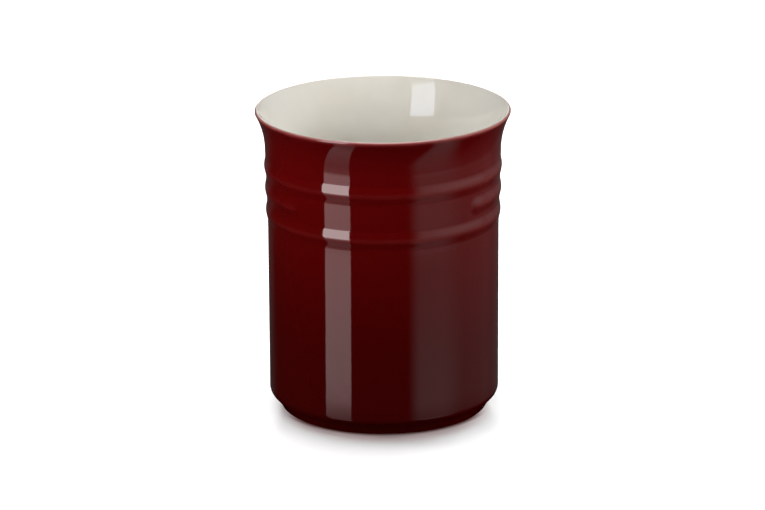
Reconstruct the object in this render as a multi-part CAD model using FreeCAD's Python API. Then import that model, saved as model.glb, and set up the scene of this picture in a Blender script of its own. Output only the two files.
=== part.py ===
import FreeCAD, Part

import math
import os

# A stoneware utensil crock: one fired clay casting with a flared mouth, three raised beads
# under it and a bare foot ring, inside three coats of fired glaze.
# Millimetres, +Z up along the crock's axis, origin on the table under its centre.
# The plain panel that interrupts one bead faces -Y.

# Whole crock, measured over the glaze
height = 150.0
body_radius = 56.45
wall = 6.0
floor_thickness = 6.5
floor_round = 7.0
glaze = 0.4

# Mouth: a beaded band spreads up to the neck, and the flare runs on from there to the lip
neck_spread = 1.1
flare_reach = 4.65
flare_height = 19.0
inner_flare_height = 32.0
lip_thickness = 2.0

# Raised beads round the band, counted from the top
bead_count = 3
bead_width = 7.0
bead_height = 0.7
bead_gap = 4.2
bead_root_round = 8.0
neck_strip = 5.4
panel_bead = 1
panel_width = 92.0

# Heel, where the wall turns under, and the foot that the crock stands on
heel_round = 5.0
heel_sweep = 64.0
cove_round = 1.5
foot_height = 5.2
foot_slope = 28.0
foot_ring_width = 6.5
foot_bevel = 0.3
recess_depth = 3.0
recess_slope = 35.0
glaze_stop = 0.35

# How much of the gap between two beads each bead's root round may take
root_room_share = 0.45

# Places that follow from the sizes above
lip_radius = lip_thickness / 2
lip_level = height - lip_radius
neck_radius = body_radius + neck_spread
neck_level = height - flare_height
crown_radius = neck_radius + flare_reach - lip_radius
inner_radius = body_radius - wall
floor_level = recess_depth + floor_thickness

bead_pitch = bead_width + bead_gap
top_bead_level = neck_level - neck_strip - bead_width / 2
bead_levels = [top_bead_level - number * bead_pitch for number in range(bead_count)]
bead_radius = ((bead_width / 2) ** 2 + bead_height ** 2) / (2 * bead_height)
band_length = neck_strip + bead_count * bead_pitch
band_bottom = neck_level - band_length
band_slope = math.atan2(neck_spread, band_length)

sweep = math.radians(heel_sweep)
slope = math.radians(foot_slope)
recess_draft = math.radians(recess_slope)
heel_level = foot_height + heel_round * math.sin(sweep)

origin = FreeCAD.Vector(0, 0, 0)
up = FreeCAD.Vector(0, 0, 1)


def at(radius, level):
    return FreeCAD.Vector(radius, 0, level)


def around(centre, radius, angle):
    return centre + at(radius * math.cos(angle), radius * math.sin(angle))


def angle_to(start, end):
    return math.atan2(end.z - start.z, end.x - start.x)


def line(start, end):
    return Part.LineSegment(start, end).toShape()


def arc(centre, radius, first, last):
    angles = (first, (first + last) / 2, last)
    return Part.Arc(*[around(centre, radius, angle) for angle in angles]).toShape()


def end_of(edges):
    return edges[-1].lastVertex(True).Point


def turn_solid(edges):
    # The outline starts and ends on the axis; the solid's seam lies in the plain panel.
    outline = Part.Wire(edges + [line(end_of(edges), edges[0].firstVertex(True).Point)])
    solid = Part.Face(outline).revolve(origin, up, 360)
    solid.rotate(origin, up, -90)
    return solid


# Each outline below is drawn for the glazed surface, or inset from it by the glaze for the clay

lip = at(crown_radius, lip_level)
heel = at(body_radius - heel_round, heel_level)
cove = around(heel, heel_round + cove_round, -sweep)


def band_radius(level):
    return body_radius + neck_spread * (level - band_bottom) / band_length


def outer_flare():
    # Centre and radius of the arc that is tangent to the band at the neck and to the lip.
    neck = at(neck_radius, neck_level)
    outward = at(math.cos(band_slope), -math.sin(band_slope))
    reach = neck - lip
    radius = (reach.Length ** 2 - lip_radius ** 2) / (2 * (lip_radius - outward.dot(reach)))
    return neck + outward * radius, radius


def inner_flare():
    # Centre and radius of the arc that is tangent to the inner wall and to the lip.
    start_level = height - inner_flare_height
    across = crown_radius - inner_radius
    rise = lip_level - start_level
    radius = (across ** 2 + rise ** 2 - lip_radius ** 2) / (2 * (across - lip_radius))
    return at(inner_radius + radius, start_level), radius


def crown_edges(inset):
    # The two glazes meet on the lip's crown, so the clay steps down there by the glaze.
    edges = [line(at(0, height), at(crown_radius, height))]
    if inset:
        edges.append(line(end_of(edges), at(crown_radius, height - inset)))
    return edges


def plain_outside(inset, base):
    flare, flare_radius = outer_flare()
    lip_end = angle_to(lip, flare)
    shoulder = at(body_radius - inset, band_bottom + inset * math.tan(band_slope / 2))
    edges = crown_edges(inset)
    edges.append(arc(lip, lip_radius - inset, math.pi / 2, lip_end))
    edges.append(arc(flare, flare_radius + inset, math.pi + lip_end, math.pi - band_slope))
    edges.append(line(end_of(edges), shoulder))
    edges.append(line(shoulder, at(body_radius - inset, heel_level)))
    edges.append(arc(heel, heel_round - inset, 0, -sweep))
    edges.append(arc(cove, cove_round + inset, math.pi - sweep, math.pi - slope))
    ankle = end_of(edges)
    sole = at(ankle.x - (ankle.z - base) * math.tan(slope), base)
    edges.append(line(ankle, sole))
    edges.append(line(sole, at(0, base)))
    return turn_solid(edges)


def hollow(inset):
    flare, flare_radius = inner_flare()
    lip_end = angle_to(flare, lip)
    corner = at(inner_radius - floor_round, floor_level + floor_round)
    edges = crown_edges(inset)
    edges.append(arc(lip, lip_radius - inset, math.pi / 2, lip_end))
    edges.append(arc(flare, flare_radius - inset, lip_end, math.pi))
    edges.append(line(end_of(edges), at(inner_radius + inset, corner.z)))
    edges.append(arc(corner, floor_round + inset, 0, -math.pi / 2))
    edges.append(line(end_of(edges), at(0, floor_level - inset)))
    return turn_solid(edges)


def sole_radius():
    # Outer edge of the bare clay where the foot meets the table.
    ankle = around(cove, cove_round + glaze, math.pi - slope)
    return ankle.x - ankle.z * math.tan(slope)


def recess(inset, base):
    # The hollow under the floor; its sloped side runs down to the inner edge of the foot ring.
    clay_edge = sole_radius() - foot_ring_width
    edge_radius = clay_edge - (glaze - inset) / math.cos(recess_draft)
    ceiling = recess_depth + inset
    corner = at(edge_radius - ceiling * math.tan(recess_draft), ceiling)
    side_end = at(edge_radius - base * math.tan(recess_draft), base)
    edges = [line(at(0, ceiling), corner), line(corner, side_end), line(side_end, at(0, base))]
    return turn_solid(edges)


# Beads: each is a round section, sunk in the band until only a low crown stands proud


def bead_run(level, inset, first_degrees, sweep_degrees):
    centre = band_radius(level) + bead_height - bead_radius
    circle = Part.makeCircle(bead_radius - inset, at(centre, level), FreeCAD.Vector(0, 1, 0))
    section = Part.Face(Part.Wire(circle))
    section.rotate(origin, up, first_degrees)
    return section.revolve(origin, up, sweep_degrees)


def bead_end(level, inset, turn_degrees):
    # A ball of the bead's own section, with its seam towards the axis.
    centre = band_radius(level) + bead_height - bead_radius
    ball = Part.makeSphere(bead_radius - inset, at(-centre, level))
    ball.rotate(origin, up, turn_degrees - 180)
    return ball


def panel_half_angle(level):
    # From the panel's middle to the centre of the ball that closes the bead beside it.
    skin = band_radius(level)
    centre = skin + bead_height - bead_radius
    ball_reach = math.acos((skin ** 2 + centre ** 2 - bead_radius ** 2) / (2 * skin * centre))
    return math.degrees(panel_width / 2 / skin + ball_reach)


def panel_bead_run(level, inset):
    half = panel_half_angle(level)
    ends = [bead_end(level, inset, side * half - 90) for side in (-1, 1)]
    return bead_run(level, inset, half - 90, 360 - 2 * half).fuse(ends).removeSplitter()


def beads(inset):
    runs = []
    for number, level in enumerate(bead_levels):
        if number == panel_bead:
            runs.append(panel_bead_run(level, inset))
        else:
            runs.append(bead_run(level, inset, -90, 360))
    return runs


def bead_roots(form):
    # The edges where a bead meets the band: curved, and on the band's own cone.
    margin = bead_gap * root_room_share
    lowest = bead_levels[-1] - bead_width / 2 - margin
    highest = bead_levels[0] + bead_width / 2 + margin
    roots = []
    for edge in form.Edges:
        middle = edge.valueAt((edge.FirstParameter + edge.LastParameter) / 2)
        on_skin = math.isclose(math.hypot(middle.x, middle.y), band_radius(middle.z), rel_tol=1e-5)
        straight = isinstance(edge.Curve, Part.Line)
        if on_skin and not straight and lowest < middle.z < highest:
            roots.append(edge)
    return roots


def beaded_outside(inset, base):
    return plain_outside(inset, base).fuse(beads(inset)).removeSplitter()


def glazed_outside():
    # The glaze fills the crisp roots of the clay's beads, so only its surface is rounded there.
    form = beaded_outside(0, glaze_stop)
    root_angle = math.asin(bead_width / 2 / bead_radius)
    room = root_room_share * bead_gap / math.tan(root_angle / 2)
    return form.makeFillet(min(bead_root_round, room), bead_roots(form))


def foot_ring_edges(solid):
    return [edge for edge in solid.Edges if edge.BoundBox.ZMax < foot_bevel / 2]


def save(name, solid):
    solid.exportStep("parts/" + name + ".step")
    state = "valid" if solid.isValid() else "not valid"
    print(name, len(solid.Solids), "solid", state, round(solid.Volume / 1000, 2), "cm3")


os.makedirs("parts", exist_ok=True)

clay_outside = beaded_outside(glaze, 0)
clay_hollow = hollow(glaze)
clay = clay_outside.cut([clay_hollow, recess(glaze, 0)])
clay = clay.makeChamfer(foot_bevel, foot_ring_edges(clay))

save("stoneware_body", clay)
save("outer_glaze", glazed_outside().cut(clay_outside))
save("inner_glaze", clay_hollow.cut(hollow(0)))
save("underside_glaze", recess(glaze, glaze_stop).cut(recess(0, glaze_stop)))
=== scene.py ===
import bpy
import math
from mathutils import Matrix, Vector


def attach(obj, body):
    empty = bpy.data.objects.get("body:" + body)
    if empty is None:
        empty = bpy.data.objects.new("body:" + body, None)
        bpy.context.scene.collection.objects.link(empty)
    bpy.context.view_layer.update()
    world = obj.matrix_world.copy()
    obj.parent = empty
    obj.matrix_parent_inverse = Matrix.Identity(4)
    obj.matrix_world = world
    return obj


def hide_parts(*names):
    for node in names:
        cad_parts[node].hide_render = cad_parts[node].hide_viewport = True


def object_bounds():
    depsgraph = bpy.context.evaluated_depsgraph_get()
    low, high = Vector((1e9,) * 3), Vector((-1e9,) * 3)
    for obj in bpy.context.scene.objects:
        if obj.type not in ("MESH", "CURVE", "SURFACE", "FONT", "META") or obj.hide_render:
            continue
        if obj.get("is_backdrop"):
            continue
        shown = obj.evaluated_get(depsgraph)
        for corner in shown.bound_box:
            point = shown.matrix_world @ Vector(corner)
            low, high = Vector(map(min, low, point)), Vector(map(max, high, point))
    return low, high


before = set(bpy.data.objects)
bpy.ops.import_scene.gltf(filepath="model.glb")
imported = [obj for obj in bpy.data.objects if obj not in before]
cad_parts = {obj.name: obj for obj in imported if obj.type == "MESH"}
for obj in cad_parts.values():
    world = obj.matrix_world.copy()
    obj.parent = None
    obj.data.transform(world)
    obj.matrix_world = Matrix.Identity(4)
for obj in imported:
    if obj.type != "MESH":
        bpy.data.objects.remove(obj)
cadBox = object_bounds()
scene = bpy.context.scene
print("frame loaded:", ", ".join(sorted(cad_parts)))


class Wire:
    # one socket of a node tree, so that sums on sockets read as plain expressions
    def __init__(self, tree, socket=None):
        self.tree = tree
        self.socket = socket

    def node(self, kind, settings=None, feeds=None, out=0):
        made = self.tree.nodes.new(kind)
        for name, value in (settings or {}).items():
            if name == "stops":
                ramp = made.color_ramp.elements
                while len(ramp) < len(value):
                    ramp.new(1.0)
                for stop, (spot, colour) in zip(ramp, value):
                    stop.position, stop.color = spot, colour
            elif name == "curve":
                made.color_ramp.interpolation = value
            else:
                setattr(made, name, value)
        for name, value in (feeds or {}).items():
            if isinstance(value, Wire):
                self.tree.links.new(value.socket, made.inputs[name])
            else:
                made.inputs[name].default_value = value
        return Wire(self.tree, made.outputs[out])

    def maths(self, operation, *terms):
        return self.node("ShaderNodeMath", {"operation": operation}, dict(enumerate(terms)))

    def __add__(self, other):
        return self.maths("ADD", self, other)

    __radd__ = __add__

    def __sub__(self, other):
        return self.maths("SUBTRACT", self, other)

    def __rsub__(self, other):
        return self.maths("SUBTRACT", other, self)

    def __mul__(self, other):
        return self.maths("MULTIPLY", self, other)

    __rmul__ = __mul__

    def __truediv__(self, other):
        return self.maths("DIVIDE", self, other)

    def __rtruediv__(self, other):
        return self.maths("DIVIDE", other, self)

    def __pow__(self, other):
        return self.maths("POWER", self, other)

    def __abs__(self):
        return self.maths("ABSOLUTE", self)

    def split(self):
        first = self.node("ShaderNodeSeparateXYZ", {}, {"Vector": self})
        return [Wire(self.tree, socket) for socket in first.socket.node.outputs]

    def ease(self, low, high):
        # 0 up to low, 1 from high on, smooth between
        feeds = {"Value": self, "From Min": low, "From Max": high}
        return self.node("ShaderNodeMapRange", {"interpolation_type": "SMOOTHSTEP"}, feeds)

    def noise(self, scale, detail=2.0, roughness=0.5):
        feeds = {"Vector": self, "Scale": scale, "Detail": detail, "Roughness": roughness}
        return self.node("ShaderNodeTexNoise", {}, feeds)

    def mix(self, first, second, share):
        # colours: the first where share is 0, the second where it is 1
        feeds = {0: share, 6: first, 7: second}
        return self.node("ShaderNodeMix", {"data_type": "RGBA"}, feeds, out=2)

    def blend(self, other, share):
        return self.mix(self, other, share)

    def ramp(self, stops, curve="LINEAR"):
        return self.node("ShaderNodeValToRGB", {"stops": stops, "curve": curve}, {"Fac": self})

    def tint(self, points, curve="LINEAR"):
        # a colour drawn over self through points
        low, high = points[0][0], points[-1][0]
        stops = [((spot - low) / (high - low), colour) for spot, colour in points]
        return ((self - low) / (high - low)).ramp(stops, curve)

    def graph(self, points, curve="LINEAR"):
        # a number drawn over self through points, as a grey tint of the largest
        most = max(value for _, value in points)
        greys = [(spot, (value / most,) * 3 + (1,)) for spot, value in points]
        return self.tint(greys, curve) * most

    def emboss(self, shader, depth, strength=1.0):
        # self is the height of a bump, and depth is that of its full range in metres
        feeds = {"Strength": strength, "Distance": depth, "Height": self}
        self.node("ShaderNodeBump", {}, feeds).into(shader, "Normal")

    def into(self, node, name):
        self.tree.links.new(self.socket, node.inputs[name])


# sizes over the glaze, in millimetres and degrees, as the solids have them
crock = {
    "height": 150.0, "bodyRadius": 56.45, "wall": 6.0, "floorThickness": 6.5, "floorRound": 7.0,
    "glaze": 0.4,
    "neckSpread": 1.1, "flareReach": 4.65, "flareHeight": 19.0, "innerFlareHeight": 32.0,
    "lipThickness": 2.0,
    "beadCount": 3, "beadWidth": 7.0, "beadHeight": 0.7, "beadGap": 4.2, "neckStrip": 5.4,
    "panelBead": 1, "panelWidth": 92.0,
    "heelRound": 5.0, "heelSweep": 64.0, "coveRound": 1.5, "footHeight": 5.2, "footSlope": 28.0,
    "footRingWidth": 6.5, "footBevel": 0.3, "recessDepth": 3.0, "recessSlope": 35.0,
    "glazeStop": 0.35,
}

mm = 0.001
glaze = crock["glaze"]
lipRadius = crock["lipThickness"] / 2
neckLevel = crock["height"] - crock["flareHeight"]
neckRadius = crock["bodyRadius"] + crock["neckSpread"]
lip = Vector((neckRadius + crock["flareReach"] - lipRadius, crock["height"] - lipRadius))
innerRadius = crock["bodyRadius"] - crock["wall"]
floorLevel = crock["recessDepth"] + crock["floorThickness"]
halfBead = crock["beadWidth"] / 2
beadPitch = crock["beadWidth"] + crock["beadGap"]
topBead = neckLevel - crock["neckStrip"] - halfBead
bandLength = crock["neckStrip"] + crock["beadCount"] * beadPitch
bandBottom = neckLevel - bandLength
bandSlope = math.atan2(crock["neckSpread"], bandLength)
heelSweep = math.radians(crock["heelSweep"])
footSlope = math.radians(crock["footSlope"])
recessSlope = math.radians(crock["recessSlope"])
heel = Vector((crock["bodyRadius"] - crock["heelRound"],
               crock["footHeight"] + crock["heelRound"] * math.sin(heelSweep)))


# the lathe: lengths in millimetres, angle in degrees
lathe = {
    "spindle": 20.0, "weld": 0.002,
    "samePoint": 1e-4,  # closer points of an outline count as one
    "beadRoot": 1.6,  # how far a bead's root blends into the band
    "skinDepth": 2.0,  # beads are raised only on what lies no deeper than this
    "sharpAngle": 40.0,
}


def around(centre, radius, angle):
    return centre + radius * Vector((math.cos(angle), math.sin(angle)))


def arcRun(centre, radius, first, last, steps):
    angles = [first + (last - first) * step / steps for step in range(steps + 1)]
    return [around(centre, radius, angle) for angle in angles]


def straightRun(start, end, steps):
    return [start.lerp(end, step / steps) for step in range(steps + 1)]


def joinRuns(*runs):
    points = []
    for point in (point for run in runs for point in run):
        if not points or (point - points[-1]).length > lathe["samePoint"]:
            points.append(point)
    return points


def angleTo(start, end):
    return math.atan2(end.y - start.y, end.x - start.x)


cove = around(heel, crock["heelRound"] + crock["coveRound"], -heelSweep)


def outsideRun(inset, base, rows):
    # from the lip's crown down the outside to the foot's flank
    neck = Vector((neckRadius, neckLevel))
    outward = Vector((math.cos(bandSlope), -math.sin(bandSlope)))
    reach = neck - lip
    flareRadius = (reach.length_squared - lipRadius ** 2) / (2 * (lipRadius - outward.dot(reach)))
    flare = neck + outward * flareRadius
    lipEnd = angleTo(lip, flare)
    lipRun = arcRun(lip, lipRadius - inset, math.pi / 2, lipEnd, rows["lip"])
    flareRun = arcRun(flare, flareRadius + inset, math.pi + lipEnd, math.pi - bandSlope,
                      rows["flare"])
    shoulder = Vector((crock["bodyRadius"] - inset, bandBottom))
    bandRun = straightRun(flareRun[-1], shoulder, rows["band"])
    wallRun = straightRun(shoulder, Vector((shoulder.x, heel.y)), rows["wall"])
    heelRun = arcRun(heel, crock["heelRound"] - inset, 0, -heelSweep, rows["heel"])
    coveRun = arcRun(cove, crock["coveRound"] + inset, math.pi - heelSweep, math.pi - footSlope,
                     rows["cove"])
    ankle = coveRun[-1]
    sole = Vector((ankle.x - (ankle.y - base) * math.tan(footSlope), base))
    footRun = straightRun(ankle, sole, rows["foot"])
    return joinRuns(lipRun, flareRun, bandRun, wallRun, heelRun, coveRun, footRun)


def insideRun(inset, rows):
    # from the lip's crown down the inside to the middle of the floor
    startLevel = crock["height"] - crock["innerFlareHeight"]
    across = lip.x - innerRadius
    rise = lip.y - startLevel
    flareRadius = (across ** 2 + rise ** 2 - lipRadius ** 2) / (2 * (across - lipRadius))
    flare = Vector((innerRadius + flareRadius, startLevel))
    lipEnd = angleTo(flare, lip)
    corner = Vector((innerRadius - crock["floorRound"], floorLevel + crock["floorRound"]))
    lipRun = arcRun(lip, lipRadius - inset, math.pi / 2, lipEnd, rows["lip"])
    flareRun = arcRun(flare, flareRadius - inset, lipEnd, math.pi, rows["flare"])
    wallRun = straightRun(flareRun[-1], Vector((innerRadius + inset, corner.y)), rows["wall"])
    roundRun = arcRun(corner, crock["floorRound"] + inset, 0, -math.pi / 2, rows["round"])
    floorRun = straightRun(roundRun[-1], Vector((0, floorLevel - inset)), rows["floor"])
    return joinRuns(lipRun, flareRun, wallRun, roundRun, floorRun)


def axisDistance(x, y):
    return (x * x + y * y) ** 0.5


def turnedTree():
    # turns an outline round the axis and raises the beads on its outer side
    tree = bpy.data.node_groups.new("turnedCoat", "GeometryNodeTree")
    inputs = {
        "Outline": "Geometry", "Segments": "Int", "Spindle": "Float", "Weld": "Float",
        "Bead Height": "Float", "Bead Reach": "Float", "Bead Pitch": "Float", "Top Bead": "Float",
        "Bead Count": "Int", "Panel Bead": "Int", "Panel Reach": "Float", "Skin Radius": "Float",
        "Sharp Angle": "Float", "Finish": "Material",
    }
    for name, kind in inputs.items():
        tree.interface.new_socket(name=name, in_out="INPUT", socket_type="NodeSocket" + kind)
    tree.interface.new_socket(name="Coat", in_out="OUTPUT", socket_type="NodeSocketGeometry")
    start = Wire(tree)
    source = tree.nodes.new("NodeGroupInput")
    given = {name: Wire(tree, source.outputs[name]) for name in inputs}

    outline = start.node("GeometryNodeMeshToCurve", {}, {"Mesh": given["Outline"]})
    spindle = start.node("GeometryNodeCurvePrimitiveCircle", {},
                         {"Resolution": given["Segments"], "Radius": given["Spindle"]})
    coat = start.node("GeometryNodeCurveToMesh", {}, {"Curve": spindle, "Profile Curve": outline})
    coat = start.node("GeometryNodeMergeByDistance", {},
                      {"Geometry": coat, "Distance": given["Weld"]})

    # the nearest bead, and how far off its middle line; the panel's bead stops in round ends
    x, y, level = start.node("GeometryNodeInputPosition").split()
    radius = axisDistance(x, y)
    turn = abs(start.maths("ARCTAN2", x, 0 - y))
    number = start.maths("ROUND", (given["Top Bead"] - level) / given["Bead Pitch"])
    number = start.maths("MINIMUM", start.maths("MAXIMUM", number, 0), given["Bead Count"] - 1)
    rise = level - given["Top Bead"] + number * given["Bead Pitch"]
    onPanel = start.maths("COMPARE", number, given["Panel Bead"], 0.5)  # both are whole numbers
    short = start.maths("MAXIMUM", given["Panel Reach"] - turn * radius, 0) * onPanel
    away = axisDistance(rise, short) / given["Bead Reach"]
    away = start.maths("MINIMUM", away, 1)
    outside = start.maths("GREATER_THAN", radius, given["Skin Radius"])
    # a raised cosine, 1 on the crest and 0 from the bead's reach on
    crest = (start.maths("COSINE", away * math.pi) * 0.5 + 0.5) * outside
    lift = crest * given["Bead Height"] / start.maths("MAXIMUM", radius, given["Weld"])
    push = start.node("ShaderNodeCombineXYZ", {}, {"X": x * lift, "Y": y * lift})

    coat = start.node("GeometryNodeStoreNamedAttribute", {"data_type": "FLOAT", "domain": "POINT"},
                      {"Geometry": coat, "Name": "crest", "Value": crest})
    coat = start.node("GeometryNodeSetPosition", {}, {"Geometry": coat, "Offset": push})
    coat = start.node("GeometryNodeSetShadeSmooth", {"domain": "FACE"},
                      {"Geometry": coat, "Shade Smooth": True})
    bend = start.node("GeometryNodeInputMeshEdgeAngle")
    sharp = start.maths("GREATER_THAN", bend, given["Sharp Angle"])
    coat = start.node("GeometryNodeSetShadeSmooth", {"domain": "EDGE"},
                      {"Geometry": coat, "Selection": sharp, "Shade Smooth": False})
    coat = start.node("GeometryNodeRealizeInstances", {}, {"Geometry": coat})
    coat = start.node("GeometryNodeSetMaterial", {},
                      {"Geometry": coat, "Material": given["Finish"]})
    coat.into(tree.nodes.new("NodeGroupOutput"), "Coat")
    return tree


turned = turnedTree()


def turnPiece(name, points, closed, segments, finish):
    # points run clockwise in the half plane, so faces look outwards
    outline = bpy.data.meshes.new(name)
    corners = [((point.x - lathe["spindle"]) * mm, -point.y * mm, 0) for point in points]
    edges = [(place, place + 1) for place in range(len(points) - 1)]
    if closed:
        edges.append((len(points) - 1, 0))
    outline.from_pydata(corners, edges, [])
    piece = bpy.data.objects.new(name, outline)
    scene.collection.objects.link(piece)
    turning = piece.modifiers.new("turnedCoat", "NODES")
    turning.node_group = turned
    sizes = {
        "Segments": segments, "Spindle": lathe["spindle"] * mm, "Weld": lathe["weld"] * mm,
        "Bead Height": crock["beadHeight"] * mm, "Bead Reach": (halfBead + lathe["beadRoot"]) * mm,
        "Bead Pitch": beadPitch * mm, "Top Bead": topBead * mm, "Bead Count": crock["beadCount"],
        "Panel Bead": crock["panelBead"], "Panel Reach": (crock["panelWidth"] / 2 + halfBead) * mm,
        "Skin Radius": (crock["bodyRadius"] - lathe["skinDepth"]) * mm,
        "Sharp Angle": math.radians(lathe["sharpAngle"]), "Finish": finish,
    }
    inputs = [item for item in turned.interface.items_tree if item.in_out == "INPUT"]
    sockets = {item.name: item.identifier for item in inputs}
    for label, value in sizes.items():
        turning[sockets[label]] = value
    bpy.context.view_layer.update()
    evaluated = piece.evaluated_get(bpy.context.evaluated_depsgraph_get())
    solid = bpy.data.meshes.new_from_object(evaluated)
    piece.modifiers.remove(turning)
    piece.data = solid
    solid.name = name
    bpy.data.meshes.remove(outline)
    print(name, len(solid.polygons), "faces")
    return piece


def newFinish(name):
    finish = bpy.data.materials.new(name)
    finish.use_nodes = True
    shader = finish.node_tree.nodes["Principled BSDF"]
    return finish, shader, Wire(finish.node_tree)


# the two coats meet in a slightly ragged line on the lip's crown
coatMeeting = {"fray": (0.8, 0.4), "frayScale": 120}


def crownDrop(place):
    # ragged distance in millimetres from the line where the coats meet
    x, y, level = place.split()
    drop = axisDistance(axisDistance(x, y) - lip.x * mm, level - crock["height"] * mm) / mm
    least, more = coatMeeting["fray"]
    return drop * (least + more * place.noise(coatMeeting["frayScale"]))


def glazeSpecks(values, place, grain):
    patches = place.noise(values["patchScale"], detail=1)
    return grain.ease(*values["speckEdge"]) * patches.ease(*values["patchEdge"])


def glassSkin(values, shader, place, cloud, grain, specks):
    # gloss with faint waves, a little duller on the specks
    dull = cloud * values["cloudRoughness"] + specks * values["speckRoughness"]
    (values["roughness"] + dull).into(shader, "Roughness")
    ripple = place.noise(values["rippleScale"])
    height = cloud + ripple * values["ripple"] + grain * values["grain"]
    height.emboss(shader, values["waviness"])
    shader.inputs["IOR"].default_value = values["ior"]


redGlaze = {
    # the coat is darker towards the bottom: share of the height, then colour
    "depth": [(0.0, (0.046, 0.0012, 0.0010, 1)), (0.10, (0.055, 0.0008, 0.0007, 1)),
              (0.28, (0.060, 0.0006, 0.0006, 1)), (0.44, (0.075, 0.0006, 0.0007, 1)),
              (0.62, (0.095, 0.0010, 0.0010, 1)), (0.80, (0.109, 0.0012, 0.0013, 1)),
              (1.0, (0.111, 0.0012, 0.0016, 1))],
    "clouding": 0.10, "cloudScale": 42, "cloudDetail": 3, "cloudMiddle": 0.5,
    "runScale": 160, "runStretch": (1, 1, 0.12), "runShare": 0.4,
    # it breaks paler on the crests of the beads, more where it ran
    "broken": (0.170, 0.014, 0.013, 1), "brokenCrest": (0.78, 1.0), "brokenRuns": (0.25, 0.5),
    "brokenShare": 0.55,
    "speck": (0.020, 0.0010, 0.0010, 1), "speckShare": 0.6,
    "speckScale": 1100, "speckEdge": (0.72, 0.80), "patchScale": 260, "patchEdge": (0.5, 0.62),
    # it thins towards the lip's crown and the pale glaze shows through: share of lipFade, colour
    "lip": [(0.0, (0.56, 0.40, 0.34, 1)), (0.16, (0.40, 0.20, 0.17, 1)),
            (0.38, (0.25, 0.042, 0.041, 1)), (0.62, (0.165, 0.011, 0.012, 1)),
            (1.0, (0.111, 0.0012, 0.0016, 1))],
    "lipFade": 3.1, "lipBlend": (0.55, 1.0),
    "ior": 1.56, "glassTint": (1, 0.88, 0.88, 1),
    "roughness": 0.035, "cloudRoughness": 0.02, "speckRoughness": 0.15,
    "waviness": 0.00004, "rippleScale": 95, "ripple": 0.35, "grain": 0.02,
}


def makeRedGlaze(values):
    finish, shader, start = newFinish("redGlaze")
    place = start.node("ShaderNodeTexCoord", out="Object")
    level = place.split()[2]
    cloud = place.noise(values["cloudScale"], values["cloudDetail"])
    grain = place.noise(values["speckScale"])
    drawn = start.node("ShaderNodeMapping", {}, {"Vector": place, "Scale": values["runStretch"]})
    runs = drawn.noise(values["runScale"], values["cloudDetail"])
    tone = cloud * (1 - values["runShare"]) + runs * values["runShare"] - values["cloudMiddle"]
    red = (level / (crock["height"] * mm) + tone * values["clouding"]).ramp(values["depth"])

    crest = start.node("ShaderNodeAttribute", {"attribute_name": "crest"}, out="Fac")
    least, more = values["brokenRuns"]
    worn = crest.ease(*values["brokenCrest"]) * (least + more * runs)
    red = red.blend(values["broken"], worn * values["brokenShare"])
    specks = glazeSpecks(values, place, grain)
    red = red.blend(values["speck"], specks * values["speckShare"])
    fade = crownDrop(place) / values["lipFade"]
    red = fade.ramp(values["lip"]).blend(red, fade.ease(*values["lipBlend"]))
    red.into(shader, "Base Color")

    glassSkin(values, shader, place, cloud, grain, specks)
    shader.inputs["Specular Tint"].default_value = values["glassTint"]  # the coat is coloured glass
    return finish


creamGlaze = {
    "cream": (0.74, 0.715, 0.655, 1), "warm": (0.70, 0.665, 0.59, 1),
    "cloudScale": 30, "cloudDetail": 3, "warmEdge": (0.35, 0.7),
    "speck": (0.42, 0.34, 0.25, 1), "speckShare": 0.35,
    "speckScale": 900, "speckEdge": (0.74, 0.80), "patchScale": 210, "patchEdge": (0.54, 0.62),
    # red bleeds in where the coats meet: reach in millimetres
    "blush": (0.70, 0.53, 0.46, 1), "blushReach": (0.0, 0.9), "blushShare": 0.8,
    "ior": 1.52,
    "roughness": 0.025, "cloudRoughness": 0.03, "speckRoughness": 0.2,
    "waviness": 0.00003, "rippleScale": 80, "ripple": 0.35, "grain": 0.02,
}


def makeCreamGlaze(values):
    finish, shader, start = newFinish("creamGlaze")
    place = start.node("ShaderNodeTexCoord", out="Object")
    cloud = place.noise(values["cloudScale"], values["cloudDetail"])
    grain = place.noise(values["speckScale"])
    cream = start.mix(values["cream"], values["warm"], cloud.ease(*values["warmEdge"]))
    specks = glazeSpecks(values, place, grain)
    cream = cream.blend(values["speck"], specks * values["speckShare"])
    blush = 1 - crownDrop(place).ease(*values["blushReach"])
    cream = cream.blend(values["blush"], blush * values["blushShare"])
    cream.into(shader, "Base Color")
    glassSkin(values, shader, place, cloud, grain, specks)
    return finish


bareClay = {
    "buff": (0.60, 0.50, 0.385, 1), "pale": (0.70, 0.62, 0.51, 1), "paleEdge": (0.36, 0.66),
    "grainScale": 1500, "grainDetail": 4, "grainRoughness": 0.65,
    "patchScale": 70, "patchDetail": 3, "patchShare": 0.4,
    "iron": (0.20, 0.115, 0.06, 1), "ironScale": 620, "ironEdge": (0.68, 0.74), "ironShare": 0.75,
    # a warm flash line beside the glaze: its levels in millimetres, and how it changes in patches
    "flash": (0.42, 0.25, 0.14, 1), "flashReach": (0.25, 0.8), "flashPatch": (0.5, 0.5),
    "flashShare": 0.7,
    # grinding marks round the ring: millimetres from one to the next, and how far they wander
    "markSpacing": 0.45, "markWander": 9, "markShare": 0.35,
    "roughness": (0.78, 0.14),
    "tooth": 0.00006, "toothStrength": 0.8, "grainRelief": 0.7, "markRelief": 0.2,
    "ironRelief": 0.2,
}


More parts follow.
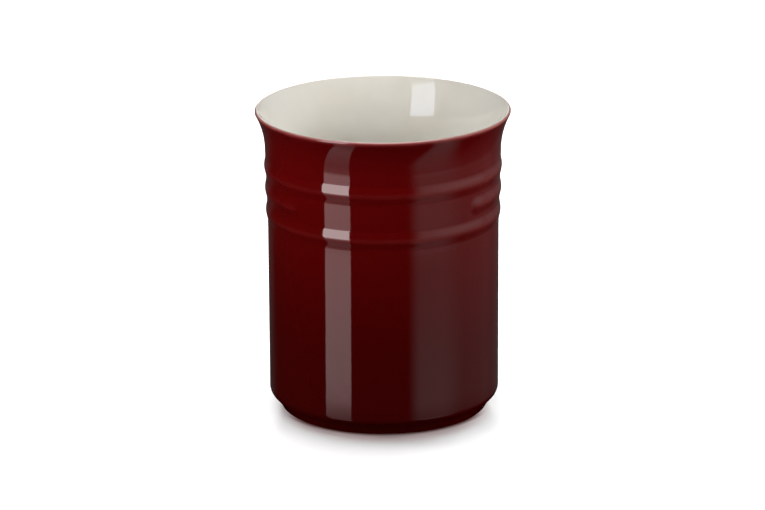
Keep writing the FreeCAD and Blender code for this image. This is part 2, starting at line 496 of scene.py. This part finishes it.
def makeBareClay(values):
    finish, shader, start = newFinish("bareClay")
    place = start.node("ShaderNodeTexCoord", out="Object")
    x, y, level = place.split()
    grain = place.noise(values["grainScale"], values["grainDetail"], values["grainRoughness"])
    patch = place.noise(values["patchScale"], values["patchDetail"])
    paler = grain * (1 - values["patchShare"]) + patch * values["patchShare"]
    clay = start.mix(values["buff"], values["pale"], paler.ease(*values["paleEdge"]))
    iron = place.noise(values["ironScale"], detail=1).ease(*values["ironEdge"])
    clay = clay.blend(values["iron"], iron * values["ironShare"])
    least, more = values["flashPatch"]
    flash = (level / mm).ease(*values["flashReach"]) * (least + more * patch)
    clay = clay.blend(values["flash"], flash * values["flashShare"])
    phase = axisDistance(x, y) * (2 * math.pi / (values["markSpacing"] * mm))
    marks = start.maths("SINE", phase + patch * values["markWander"]) * 0.5 + 0.5
    clay = clay.blend(values["pale"], marks * grain * values["markShare"])
    clay.into(shader, "Base Color")
    least, more = values["roughness"]
    (least + more * grain).into(shader, "Roughness")
    height = grain * values["grainRelief"] + marks * values["markRelief"]
    height = height + iron * values["ironRelief"]
    height.emboss(shader, values["tooth"], values["toothStrength"])
    return finish


redFinish = makeRedGlaze(redGlaze)
creamFinish = makeCreamGlaze(creamGlaze)
clayFinish = makeBareClay(bareClay)
print("finishes made")


outerCoat = {
    "segments": 384,
    "rows": {"lip": 14, "flare": 18, "band": 88, "wall": 10, "heel": 12, "cove": 8, "foot": 3},
    "hiddenRows": {"lip": 4, "flare": 6, "band": 40, "wall": 2, "heel": 4, "cove": 3, "foot": 1},
    "rollSteps": 5,
}


def makeOuterCoat(values):
    stop = crock["glazeStop"] + glaze * math.cos(footSlope)
    hidden = outsideRun(glaze, stop, values["hiddenRows"])
    roll = arcRun(hidden[-1], glaze, -footSlope, -footSlope - math.pi / 2, values["rollSteps"])
    shown = outsideRun(0, roll[0].y, values["rows"])
    points = joinRuns(shown[:-1], roll, hidden[::-1])
    return turnPiece("redOuterCoat", points, True, values["segments"], redFinish)


innerCoat = {
    "segments": 288,
    "rows": {"lip": 12, "flare": 30, "wall": 10, "round": 12, "floor": 8},
    "hiddenRows": {"lip": 4, "flare": 10, "wall": 3, "round": 5, "floor": 3},
}


def makeInnerCoat(values):
    shown = insideRun(0, values["rows"])
    hidden = insideRun(glaze, values["hiddenRows"])
    points = shown[::-1] + hidden
    return turnPiece("creamInnerCoat", points, False, values["segments"], creamFinish)


clayBody = {
    "segments": 256,
    "rows": {"lip": 4, "flare": 8, "band": 44, "wall": 4, "heel": 6, "cove": 4, "foot": 3},
    "insideRows": {"lip": 4, "flare": 10, "wall": 3, "round": 5, "floor": 3},
    "ringRows": 6, "recessRows": 3,
}


def soleRadius():
    return outsideRun(glaze, 0, clayBody["rows"])[-1].x


def recessSide(inset, base):
    # the recess's sloped side, from its ceiling down to base
    edge = soleRadius() - crock["footRingWidth"] - (glaze - inset) / math.cos(recessSlope)
    ceiling = crock["recessDepth"] + inset
    return [Vector((edge - level * math.tan(recessSlope), level)) for level in (ceiling, base)]


def makeClayBody(values):
    bevel = crock["footBevel"]
    inside = insideRun(glaze, values["insideRows"])
    outside = outsideRun(glaze, bevel * math.cos(footSlope), values["rows"])
    sideTop, sideEnd = recessSide(glaze, bevel * math.cos(recessSlope))
    ringOut = Vector((soleRadius() - bevel, 0))
    ringIn = Vector((soleRadius() - crock["footRingWidth"] + bevel, 0))
    ring = straightRun(ringOut, ringIn, values["ringRows"])
    side = straightRun(sideEnd, sideTop, values["recessRows"])
    points = joinRuns(inside[::-1], outside, ring, side, [Vector((0, sideTop.y))])
    return turnPiece("firedClay", points, False, values["segments"], clayFinish)


undersideCoat = {
    "segments": 224, "cornerRound": 1.4, "cornerSteps": 6, "ceilingRows": 10, "rollSteps": 5,
}


def makeUndersideCoat(values):
    stop = crock["glazeStop"] + glaze * math.cos(recessSlope)
    clayTop, clayEnd = recessSide(glaze, stop)
    roll = arcRun(clayEnd, glaze, -math.pi / 2 + recessSlope, -math.pi + recessSlope,
                  values["rollSteps"])
    corner = recessSide(0, stop)[0]
    turn = math.pi / 2 - recessSlope
    inset = values["cornerRound"] * math.tan(turn / 2)
    centre = Vector((corner.x - inset, corner.y - values["cornerRound"]))
    bend = arcRun(centre, values["cornerRound"], recessSlope, math.pi / 2, values["cornerSteps"])
    ceiling = straightRun(bend[-1], Vector((0, corner.y)), values["ceilingRows"])
    points = joinRuns([Vector((0, clayTop.y)), clayTop, clayEnd], roll, bend, ceiling)
    return turnPiece("redUndersideCoat", points, False, values["segments"], redFinish)


pieces = {
    "outer_glaze": (makeOuterCoat(outerCoat), "red_glaze"),
    "inner_glaze": (makeInnerCoat(innerCoat), "cream_glaze"),
    "stoneware_body": (makeClayBody(clayBody), "stoneware"),
    "underside_glaze": (makeUndersideCoat(undersideCoat), "red_glaze"),
}
for node, (piece, slot) in pieces.items():
    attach(piece, "root")
    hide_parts(node)
print("pieces turned:", len(pieces))


# the studio: metres, and degrees from the front of the crock, to the right
def heading(degrees):
    return Vector((math.sin(math.radians(degrees)), -math.cos(math.radians(degrees)), 0))


def standAt(place, away):
    # turns a camera or lamp at place so that it looks against away
    return Matrix.Translation(place) @ away.to_track_quat("Z", "Y").to_matrix().to_4x4()


photoCamera = {
    "target": 0.075, "distance": 2.0, "elevation": 17.558, "azimuth": -1.8, "roll": -0.27,
    "lens": 191.97, "sensor": 36.0, "clipEnd": 100.0,
    "frameWidth": 765, "shift": (-0.95, 0.49),  # in pixels
}


def placeCamera(values):
    lens = bpy.data.cameras.new("photoCamera")
    lens.lens, lens.sensor_width, lens.sensor_fit = values["lens"], values["sensor"], "HORIZONTAL"
    lens.shift_x, lens.shift_y = [pixels / values["frameWidth"] for pixels in values["shift"]]
    lens.clip_end = values["clipEnd"]
    camera = bpy.data.objects.new("photoCamera", lens)
    scene.collection.objects.link(camera)
    lift = math.radians(values["elevation"])
    away = heading(values["azimuth"]) * math.cos(lift) + Vector((0, 0, math.sin(lift)))
    place = Vector((0, 0, values["target"])) + away * values["distance"]
    roll = Matrix.Rotation(math.radians(values["roll"]), 4, "Z")
    camera.matrix_world = standAt(place, away) @ roll
    scene.camera = camera


placeCamera(photoCamera)
print("camera placed")


white = (1, 1, 1, 1)
stripEdges = [(-13.7, 0.0), (-13.4, 1.0), (13.4, 1.0), (13.7, 0.0)]

# patches of a dome that the glaze mirrors. aim is a patch's heading, across its share by the angle
# off that, upright its radiance by elevation, with white as 1. Some lean: below an elevation they
# drift aside by a power of (drop / reach). Some have tints, below and above the horizon.
mirroredCards = {
    "distance": 3.0, "columns": 60, "rows": 30, "horizon": (-15.5, -12.0),
    "cards": {
        "keyCard": {
            "aim": -47.7, "across": stripEdges,
            "upright": [(-66.0, 0.12), (-53.0, 0.58), (-31.0, 0.40), (-21.7, 0.53), (-19.8, 1.00),
                        (-19.1, 1.20), (-18.6, 1.58), (-17.6, 1.66), (-15.1, 1.80), (-13.6, 1.90),
                        (-11.0, 6.8), (9.0, 6.8), (9.4, 0.0)],
            "lean": (-17.0, -5.3, 1), "tints": ((1.2, 1, 1, 1), white)},
        "windowCard": {
            "aim": -50.5, "across": stripEdges,
            "upright": [(14.6, 0.0), (15.2, 4.5), (30.0, 4.1), (47.0, 3.1), (48.6, 0.0)],
            "lean": (56.0, 6.76, 1), "tints": (white, (1, 1.08, 1.3, 1))},
        "fillCard": {
            "aim": 60.0, "across": [(-39.5, 0.0), (-23.5, 1.0), (-5.0, 1.0), (30.0, 0.0)],
            "upright": [(-65.0, 0.0), (-62.0, 0.24), (-45.0, 0.29), (-30.0, 0.27), (-22.0, 0.23),
                        (-20.0, 0.36), (-19.0, 0.40), (-18.6, 0.40), (-16.0, 0.29), (20.0, 0.24),
                        (55.0, 0.1)],
            "lean": (-29.0, 4.3, 2)},
        "sideCard": {
            "aim": 110.0, "across": [(-55.0, 0.0), (-20.0, 1.0), (5.0, 0.75), (28.0, 0.36),
                                     (60.0, 0.3), (80.0, 0.0)],
            "upright": [(-40.0, 0.0), (-22.0, 0.08), (-19.0, 0.17), (-16.0, 0.17), (-12.0, 0.18),
                        (-4.0, 0.0)]},
        "upperCard": {
            "aim": 95.0, "across": [(-70.0, 0.0), (-55.0, 0.36), (-34.0, 0.54), (-12.0, 0.78),
                                    (5.0, 0.72), (20.0, 0.45), (50.0, 0.3), (85.0, 0.0)],
            "upright": [(-15.5, 0.0), (-9.0, 0.35), (-1.0, 0.85), (8.0, 0.95), (20.0, 0.5),
                        (55.0, 0.2)]},
        "rimCard": {
            "aim": -160.0, "across": [(-14.0, 1.0), (8.0, 1.0), (24.0, 0.0)],
            "upright": [(-30.0, 0.0), (-19.5, 0.03), (-14.0, 0.03), (-6.0, 0.10), (20.0, 0.10),
                        (55.0, 0.05)]},
        "backCard": {
            "aim": 180.0, "across": [(-6.0, 0.0), (-5.0, 1.0), (5.0, 1.0), (6.0, 0.0)],
            "upright": [(-30.0, 0.0), (-22.0, 1.2), (20.0, 1.6), (55.0, 1.0)]},
        "topCard": {
            "aim": 0.0, "across": [(-180.0, 1.0), (180.0, 1.0)],
            "upright": [(55.0, 0.0), (66.0, 4.4), (90.0, 4.4)]},
    },
}


def hangCard(name, mesh, finish):
    # only the glaze's gloss sees it
    mesh.materials.append(finish)
    card = bpy.data.objects.new(name, mesh)
    scene.collection.objects.link(card)
    card.visible_camera = card.visible_diffuse = card.visible_shadow = False
    card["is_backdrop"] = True


def glowCard(values, name, aim, across, upright, lean=(0.0, 1.0, 0), tints=(white, white)):
    columns, rows, distance = values["columns"], values["rows"], values["distance"]
    kink, reach, power = lean
    side = math.copysign(1, reach)
    low, high = upright[0][0], upright[-1][0]
    drift = side * ((kink - low) / abs(reach)) ** power if power else 0
    first, last = across[0][0] + min(drift, 0), across[-1][0] + max(drift, 0)
    corners = []
    for column in range(columns + 1):
        way = heading(aim + first + (last - first) * column / columns)
        for row in range(rows + 1):
            lift = math.radians(low + (high - low) * row / rows)
            corners.append(distance * (way * math.cos(lift) + Vector((0, 0, math.sin(lift)))))
    faces = []
    for column in range(columns):
        for row in range(rows):
            corner = column * (rows + 1) + row
            faces.append((corner, corner + 1, corner + rows + 2, corner + rows + 1))
    mesh = bpy.data.meshes.new(name)
    mesh.from_pydata(corners, [], faces)

    finish = bpy.data.materials.new(name)
    finish.use_nodes = True
    finish.node_tree.nodes.clear()
    start = Wire(finish.node_tree)
    x, y, level = start.node("ShaderNodeTexCoord", out="Object").split()
    ahead, aside = heading(aim), heading(aim + 90)
    angle = start.maths("ARCTAN2", x * aside.x + y * aside.y, x * ahead.x + y * ahead.y)
    angle = angle * math.degrees(1)
    lift = start.maths("ARCSINE", level / distance) * math.degrees(1)
    if power:
        fall = start.maths("MAXIMUM", (kink - lift) / abs(reach), 0)
        angle = angle - side * fall ** power
    radiance = angle.graph(across, "EASE") * lift.graph(upright)
    colour = start.mix(*tints, lift.ease(*values["horizon"]))
    glow = start.node("ShaderNodeVectorMath", {"operation": "SCALE"},
                      {"Vector": colour, "Scale": radiance})
    glow = start.node("ShaderNodeEmission", {}, {"Color": glow})
    clear = start.node("ShaderNodeBsdfTransparent")  # cards overlap, and their glows add up
    both = start.node("ShaderNodeAddShader", {}, {0: glow, 1: clear})
    both.into(finish.node_tree.nodes.new("ShaderNodeOutputMaterial"), "Surface")
    hangCard(name, mesh, finish)


for name, card in mirroredCards["cards"].items():
    glowCard(mirroredCards, name, **card)
print("cards hung:", len(mirroredCards["cards"]))


# a black ring round the foot, seen only in the gloss: a painted reflection of the floor's shadow
# beside the foot, which keeps the low cards out of the heel; radii in millimetres
footShadeFlag = {"radii": (48.0, 62.8), "steps": 96, "black": (0, 0, 0, 1)}


def layFootShadeFlag(values):
    steps = values["steps"]
    ways = [heading(360 * step / steps) for step in range(steps)]
    corners = [way * radius * mm for radius in values["radii"] for way in ways]
    faces = []
    for step in range(steps):
        after = (step + 1) % steps
        faces.append((step, after, after + steps, step + steps))
    mesh = bpy.data.meshes.new("footShadeFlag")
    mesh.from_pydata(corners, [], faces)
    finish, shader = newFinish("footShadeFlag")[:2]
    # black, as the shadowed floor beside the foot would look in the heel's gloss: a painted
    # reflected shadow
    shader.inputs["Base Color"].default_value = values["black"]
    shader.inputs["Specular IOR Level"].default_value = 0.0
    hangCard("footShadeFlag", mesh, finish)


layFootShadeFlag(footShadeFlag)


# white behind the crock, but only a glimmer of it in the glaze
paleRoom = {"colour": white, "glimmer": 0.006}


def paintRoom(values):
    world = bpy.data.worlds.new("paleRoom")
    world.use_nodes = True
    backdrop = world.node_tree.nodes["Background"]
    seen = Wire(world.node_tree).node("ShaderNodeLightPath", out="Is Camera Ray")
    (seen + values["glimmer"]).into(backdrop, "Strength")
    backdrop.inputs["Color"].default_value = values["colour"]
    scene.world = world


paintRoom(paleRoom)


# lamps that the glaze doesn't mirror: angle, height, distance, size and radiance. tableBounce
# shines up from under the floor, as light that a pale table throws back.
softLamps = {
    "leftLamp": (-60.0, 0.35, 0.8, 0.68, 4.1), "rightLamp": (60.0, 0.35, 0.8, 0.68, 4.45),
    "leftTopLamp": (-50.0, 0.45, 0.4, 0.34, 3.0), "rightTopLamp": (50.0, 0.45, 0.4, 0.34, 0.96),
    "rightSideLamp": (115.0, 0.65, 0.6, 0.68, 2.25), "backLamp": (-170.0, 0.35, 0.9, 0.68, 3.0),
    "tableBounce": (0.0, -0.05, 0.0, 0.17, 0.64),
}
lampTarget = Vector((0, 0, 0.1))


def softLamp(name, angle, height, distance, size, radiance):
    panel = bpy.data.lights.new(name, "AREA")
    panel.shape, panel.size = "DISK", size
    panel.energy = radiance * math.pi ** 2 * (size / 2) ** 2  # pi times radiance times area
    lamp = bpy.data.objects.new(name, panel)
    scene.collection.objects.link(lamp)
    place = heading(angle) * distance + Vector((0, 0, height))
    lamp.matrix_world = standAt(place, place - lampTarget)
    lamp.visible_camera = lamp.visible_glossy = False
    return lamp


lamps = [softLamp(name, *sizes) for name, sizes in softLamps.items()]
print("lamps set:", len(lamps))


paleFloor = {
    "size": 8.0, "drop": 0.0001, "roughness": 0.9,
    # painted shadow and red bounce light round the foot: colour by the distance in millimetres from
    # a spot in front of the crock's axis
    "paintedShadeAndBounceSpot": 12.0,
    "paintedShadeAndBounce": [(39.0, (0.86, 0.68, 0.68, 1)), (42.5, (0.98, 0.82, 0.82, 1)),
              (46.0, (0.96, 0.85, 0.85, 1)), (50.0, (0.92, 0.88, 0.88, 1)),
              (54.0, (0.90, 0.90, 0.90, 1))],
    # a painted contact shadow where the foot meets it, from the sides round the front, in
    # millimetres
    "contactShadowTone": (0.17, 0.06, 0.06, 1), "contactShadowReach": (49.0, 52.8), "contactShadowSpread": 1.033,
    "contactShadowFront": (12.0, 34.0),
    # lamps of its own, given as the soft lamps are
    "washes": {
        "topWash": (0.0, 2.50, 0.0, 0.44, 48.5),
        "backWash": (180.0, 0.26, 2.49, 0.44, 333.0),
        "leftBackWash": (-145.0, 1.77, 1.77, 2.33, 3.74),
        "rightBackWash": (145.0, 0.52, 2.45, 2.33, 11.8),
        "leftLowWash": (-110.0, 0.26, 2.49, 1.06, 25.4),
        "rightLowWash": (110.0, 0.26, 2.49, 1.06, 24.8),
        "leftWash": (-75.0, 0.52, 2.45, 1.06, 9.4),
        "rightWash": (75.0, 0.52, 2.45, 1.06, 8.2),
        "frontWash": (0.0, 1.25, 2.17, 0.88, 4.8),
    },
}


def layFloor(values):
    half = values["size"] / 2
    ways = [(-1, -1), (1, -1), (1, 1), (-1, 1)]
    mesh = bpy.data.meshes.new("paleFloor")
    mesh.from_pydata([(half * x, half * y, -values["drop"]) for x, y in ways], [], [(0, 1, 2, 3)])
    floor = bpy.data.objects.new("paleFloor", mesh)
    scene.collection.objects.link(floor)
    finish, shader, start = newFinish("paleFloor")
    x, y = start.node("ShaderNodeTexCoord", out="Object").split()[:2]
    # painted shadow and red bounce light round the foot, in the floor's colour
    paintedShadeAndBounce = (axisDistance(x, y + values["paintedShadeAndBounceSpot"] * mm) / mm).tint(values["paintedShadeAndBounce"])
    # a painted contact shadow along the foot's front and sides
    contactShadow = 1 - (axisDistance(x / values["contactShadowSpread"], y) / mm).ease(*values["contactShadowReach"])
    contactShadow = contactShadow * (0 - y / mm).ease(*values["contactShadowFront"])
    paintedShadeAndBounce.blend(values["contactShadowTone"], contactShadow).into(shader, "Base Color")
    shader.inputs["Roughness"].default_value = values["roughness"]
    shader.inputs["Specular IOR Level"].default_value = 0.0
    mesh.materials.append(finish)
    floor.visible_glossy = False  # the glaze mirrors the cards alone
    floor.visible_diffuse = False
    floor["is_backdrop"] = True
    return floor


def linkLamps(name, lights, floor, state):
    reached = bpy.data.collections.new(name)
    reached.objects.link(floor)
    reached.collection_objects[0].light_linking.link_state = state
    for lamp in lights:
        lamp.light_linking.receiver_collection = reached
        lamp.light_linking.blocker_collection = reached if state == "EXCLUDE" else None


floor = layFloor(paleFloor)
washes = [softLamp(name, *sizes) for name, sizes in paleFloor["washes"].items()]
linkLamps("washedFloor", washes, floor, "INCLUDE")  # the washes light the floor alone
linkLamps("sparedFloor", lamps, floor, "EXCLUDE")  # the lamps light all but the floor
scene.view_settings.view_transform = "Standard"
print("floor laid, studio set")

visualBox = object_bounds()
for label, box in (("CAD box:", cadBox), ("visual box:", visualBox)):
    print(label, [[round(size, 4) for size in corner] for corner in box])
